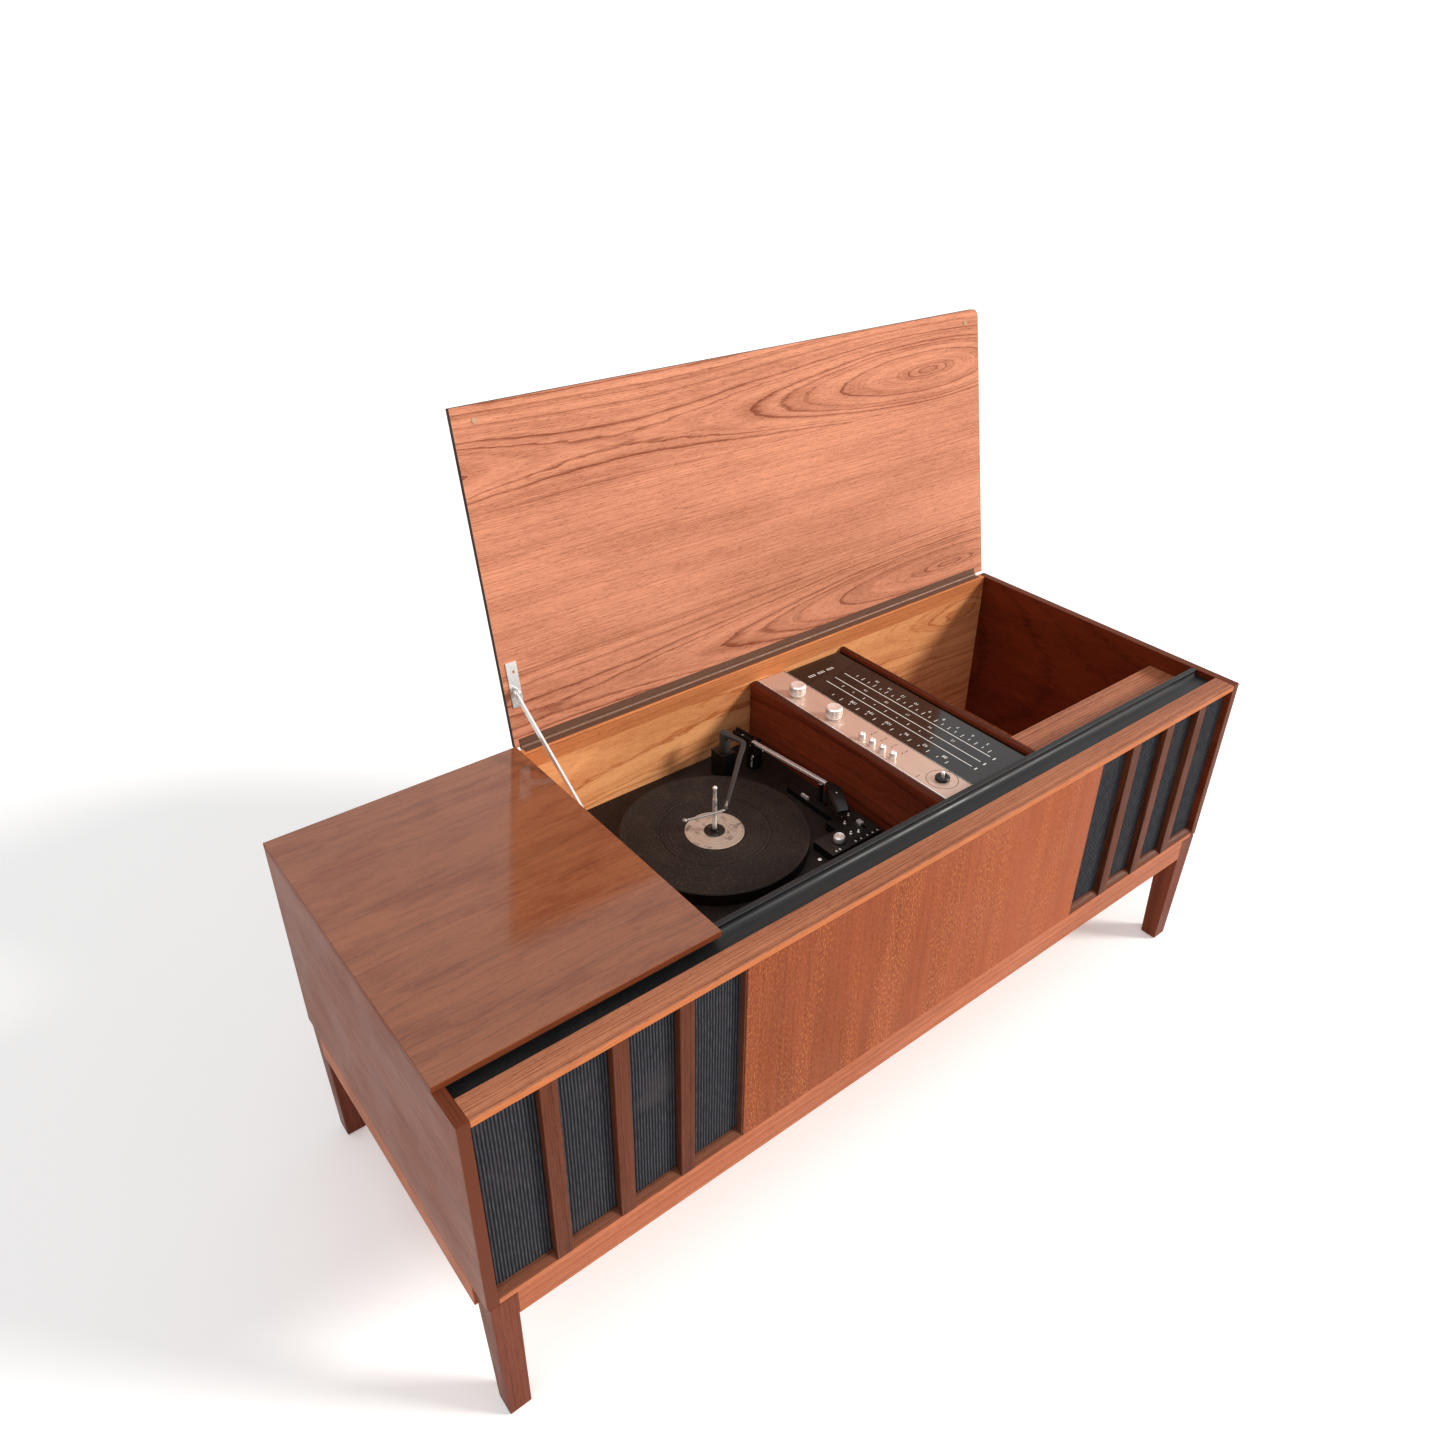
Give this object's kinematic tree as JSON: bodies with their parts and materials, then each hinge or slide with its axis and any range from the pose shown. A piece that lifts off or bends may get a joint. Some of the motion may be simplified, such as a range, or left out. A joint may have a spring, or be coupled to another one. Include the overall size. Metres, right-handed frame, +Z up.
{
  "type": "radio phonograph console",
  "caption": "Long low console on tapered legs with slatted speaker grilles, a hinged lid over a record changer, a radio and a record bin.",
  "frame": {"origin": "on the floor, under the middle of the case's length and depth", "axes": "+X along the length towards the record bin, -Y out of the grille front, +Z up"},
  "size_m": [1.4, 0.6427, 1.0225],
  "materials": {
    "side_veneer": "satin teak veneer",
    "top_veneer": "glossy dark teak veneer",
    "lid_veneer": "satin teak veneer, warm",
    "rail_wood": "satin solid teak",
    "centre_veneer": "satin veneer with a broken stripe",
    "slat_wood": "satin solid wood, reddish",
    "back_veneer": "satin figured veneer, golden",
    "mahogany": "satin dark mahogany",
    "base_wood": "satin solid wood, reddish",
    "plain_board": "unfinished board",
    "channel_paint": "satin blue-black paint",
    "deck_paint": "satin brown-black enamel",
    "grille_cloth": "ribbed grey-blue grille cloth",
    "speaker_metal": "black",
    "rubber": "matt black",
    "buffer_rubber": "matt tan",
    "panel_aluminium": "fine brushed, warm silver",
    "knob_aluminium": "turned",
    "dial_glass": "back-printed dark glass",
    "chassis_steel": "plated",
    "bright_steel": "bright",
    "brass": "plated, slightly dull",
    "black_plastic": "black",
    "grey_plastic": "grey",
    "button_plastic": "ivory",
    "pointer_plastic": "red"
  },
  "bodies": {
    "case": {"side_panel_left": "side_veneer", "side_panel_right": "side_veneer", "bottom_board": "base_wood", "fixed_top": "top_veneer", "front_rail": "rail_wood", "finger_channel": "channel_paint", "inner_front_board": "mahogany", "centre_panel": "centre_veneer", "grille_slats": "slat_wood", "grille_cloths": "grille_cloth", "speaker_baffles": "plain_board", "loudspeakers": "speaker_metal", "back_rail": "rail_wood", "inner_back_panel": "back_veneer", "rear_cover": "plain_board", "cable_gland": "rubber", "bay_divider": "mahogany", "radio_cheeks": "mahogany", "record_shelf": "rail_wood", "motor_board": "deck_paint", "apron_front": "base_wood", "apron_sides": "base_wood", "leg_front_left": "base_wood", "leg_front_right": "base_wood", "leg_rear_left": "base_wood", "leg_rear_right": "base_wood", "control_panel": "panel_aluminium", "dial_glass": "dial_glass", "radio_chassis": "chassis_steel", "deck_plate": "deck_paint", "spindle": "bright_steel", "tonearm_pillar": "black_plastic", "overarm_tower": "black_plastic", "control_block": "black_plastic", "drive_motor": "chassis_steel", "hinge_case_leaf": "chassis_steel", "stay_guide": "brass"},
    "lid": {"lid": "lid_veneer", "lid_bumpers": "buffer_rubber", "hinge_lid_leaf": "chassis_steel", "stay_bracket": "brass"},
    "stay_arm": {"stay_arm": "bright_steel"},
    "platter": {"platter": "deck_paint", "platter_mat": "rubber"},
    "idler_wheel": {"idler_wheel": "rubber"},
    "motor_rotor": {"motor_pulley": "brass"},
    "tonearm_gimbal": {"tonearm_gimbal": "black_plastic"},
    "tonearm": {"tonearm": "bright_steel", "head_shell": "grey_plastic"},
    "overarm": {"overarm": "grey_plastic"},
    "speed_knob": {"speed_knob": "knob_aluminium"},
    "start_lever": {"start_lever": "bright_steel"},
    "volume_knob": {"volume_knob": "knob_aluminium"},
    "tone_knob": {"tone_knob": "knob_aluminium"},
    "button_1": {"button_1": "button_plastic"},
    "button_2": {"button_2": "button_plastic"},
    "button_3": {"button_3": "button_plastic"},
    "button_4": {"button_4": "button_plastic"},
    "tuning_spindle": {"tuning_spindle": "black_plastic"},
    "dial_pointer": {"dial_pointer": "pointer_plastic"}
  },
  "joints": [
    {"name": "lid_hinge", "type": "hinge", "parent": "case", "child": "lid", "pos_m": [0, 0.2725, 0.543], "axis": [1, 0, 0], "range_deg": [0, 100.9]},
    {"name": "stay_swing", "type": "hinge", "parent": "lid", "child": "stay_arm", "pos_m": [-0.3195, 0.27932, 0.6313], "axis": [1, 0, 0], "range_deg": [-121.8, 0]},
    {"name": "platter_spin", "type": "hinge", "parent": "case", "child": "platter", "pos_m": [-0.123, 0.067, 0.423], "axis": [0, 0, 1], "continuous": true},
    {"name": "idler_spin", "type": "hinge", "parent": "case", "child": "idler_wheel", "pos_m": [-0.20499, -0.01499, 0.409], "axis": [0, 0, 1], "continuous": true},
    {"name": "motor_spin", "type": "hinge", "parent": "case", "child": "motor_rotor", "pos_m": [-0.1901, -0.0001, 0.409], "axis": [0, 0, 1], "continuous": true},
    {"name": "tonearm_swing", "type": "hinge", "parent": "case", "child": "tonearm_gimbal", "pos_m": [0.054, 0.187, 0.445], "axis": [0, 0, 1], "range_deg": [-38, 0]},
    {"name": "tonearm_lift", "type": "hinge", "parent": "tonearm_gimbal", "child": "tonearm", "pos_m": [0.054, 0.187, 0.445], "axis": [-0.9947, -0.1028, 0], "range_deg": [0, 14]},
    {"name": "overarm_swing", "type": "hinge", "parent": "case", "child": "overarm", "pos_m": [-0.002, 0.196, 0.458], "axis": [0, 0, 1], "range_deg": [0, 50]},
    {"name": "speed_turn", "type": "hinge", "parent": "case", "child": "speed_knob", "pos_m": [0.016, -0.057, 0.418], "axis": [0, 0, 1], "range_deg": [-45, 45]},
    {"name": "start_slide", "type": "slide", "parent": "case", "child": "start_lever", "axis": [0, 1, 0], "range_m": [-0.01, 0.01]},
    {"name": "volume_turn", "type": "hinge", "parent": "case", "child": "volume_knob", "pos_m": [0.137, 0.18, 0.523], "axis": [0, 0, 1], "range_deg": [-135, 135]},
    {"name": "tone_turn", "type": "hinge", "parent": "case", "child": "tone_knob", "pos_m": [0.137, 0.093, 0.523], "axis": [0, 0, 1], "range_deg": [-135, 135]},
    {"name": "tuning_turn", "type": "hinge", "parent": "case", "child": "tuning_spindle", "pos_m": [0.146, -0.129, 0.523], "axis": [0, 0, 1], "range_deg": [0, 1180]},
    {"name": "pointer_slide", "type": "slide", "parent": "case", "child": "dial_pointer", "axis": [0, 1, 0], "range_m": [0, 0.289]},
    {"name": "button_1_press", "type": "slide", "parent": "case", "child": "button_1", "axis": [0, 0, -1], "range_m": [0, 0.004], "stiffness_N_per_m": 150, "springref_m": -0.004},
    {"name": "button_2_press", "type": "slide", "parent": "case", "child": "button_2", "axis": [0, 0, -1], "range_m": [0, 0.004], "stiffness_N_per_m": 150, "springref_m": -0.004},
    {"name": "button_3_press", "type": "slide", "parent": "case", "child": "button_3", "axis": [0, 0, -1], "range_m": [0, 0.004], "stiffness_N_per_m": 150, "springref_m": -0.004},
    {"name": "button_4_press", "type": "slide", "parent": "case", "child": "button_4", "axis": [0, 0, -1], "range_m": [0, 0.004], "stiffness_N_per_m": 150, "springref_m": -0.004}
  ],
  "couplings": [
    {"joint": "stay_swing", "follows": "lid_hinge", "ratio": -1.2061},
    {"joint": "idler_spin", "follows": "platter_spin", "ratio": 7.4444},
    {"joint": "motor_spin", "follows": "platter_spin", "ratio": -44.667},
    {"joint": "pointer_slide", "follows": "tuning_turn", "m_per_rad": 0.014}
  ]
}
